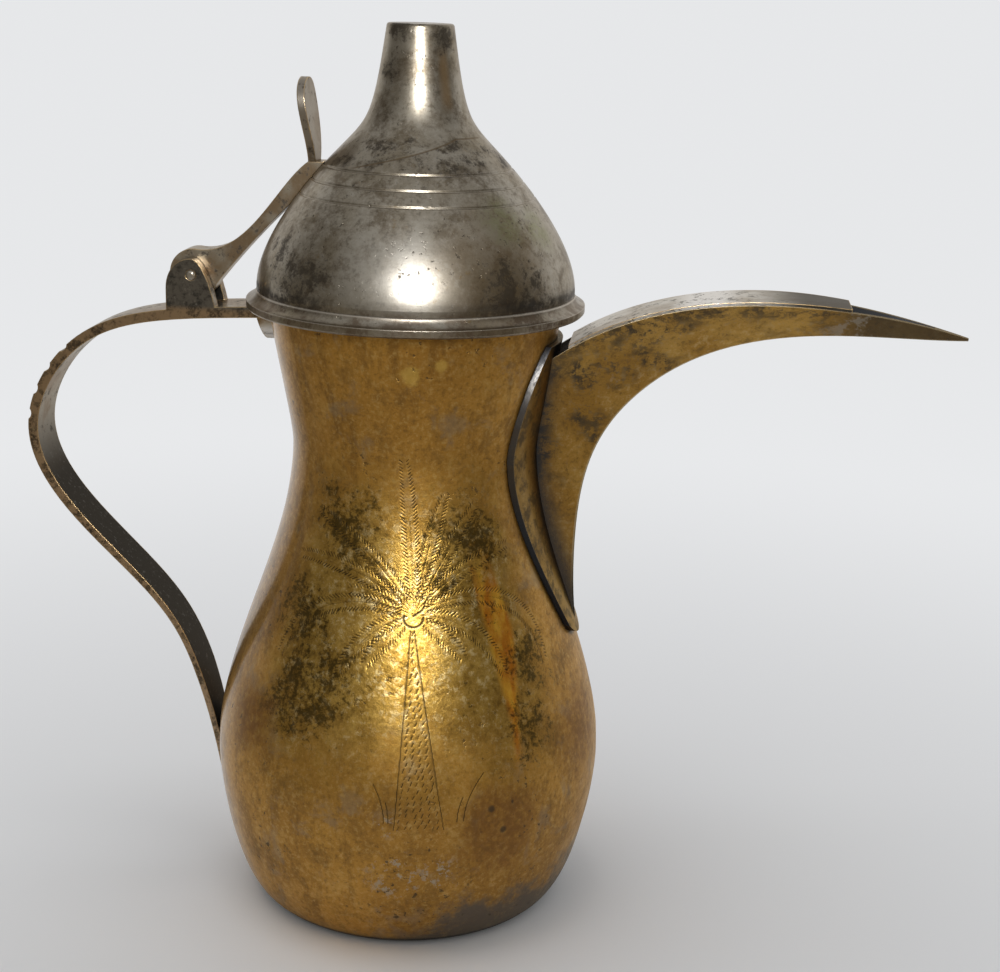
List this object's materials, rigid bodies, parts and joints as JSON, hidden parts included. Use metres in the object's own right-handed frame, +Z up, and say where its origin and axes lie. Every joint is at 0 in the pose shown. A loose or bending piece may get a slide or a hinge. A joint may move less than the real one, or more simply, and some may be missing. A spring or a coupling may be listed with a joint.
{
  "type": "dallah coffee pot",
  "caption": "Waisted brass coffee pot with a beaked V-section spout, a strap handle and a hinged bell lid with a tapering finial and thumb leaf.",
  "frame": {"origin": "centre of the underside of the base, on the axis of the body", "axes": "+X from the body's axis towards the spout, +Z up along the body's axis, handle on -X, Y across the pot"},
  "size_m": [0.2617, 0.1116, 0.25],
  "materials": {
    "brass": "aged polished brass with brown tarnish",
    "silvered_fittings": "worn and tarnished silver plate over brass",
    "silvered_lid": "tarnished silver plate over brass, spun"
  },
  "bodies": {
    "pot": {"body_shell": "brass", "base_disc": "brass", "spout_cheek_near": "brass", "spout_cheek_far": "brass", "spout_cover": "silvered_fittings", "spout_saddle": "silvered_fittings", "handle": "silvered_fittings", "hinge_pin": "silvered_fittings"},
    "lid": {"lid_dome": "silvered_lid", "lid_rim": "silvered_lid", "lid_collar": "silvered_lid", "lid_arm": "silvered_fittings", "thumb_leaf": "silvered_fittings"}
  },
  "joints": [
    {"name": "lid_hinge", "type": "hinge", "parent": "pot", "child": "lid", "pos_m": [-0.0622, 0, 0.1804], "axis": [0, -1, 0], "range_deg": [0, 110]}
  ]
}
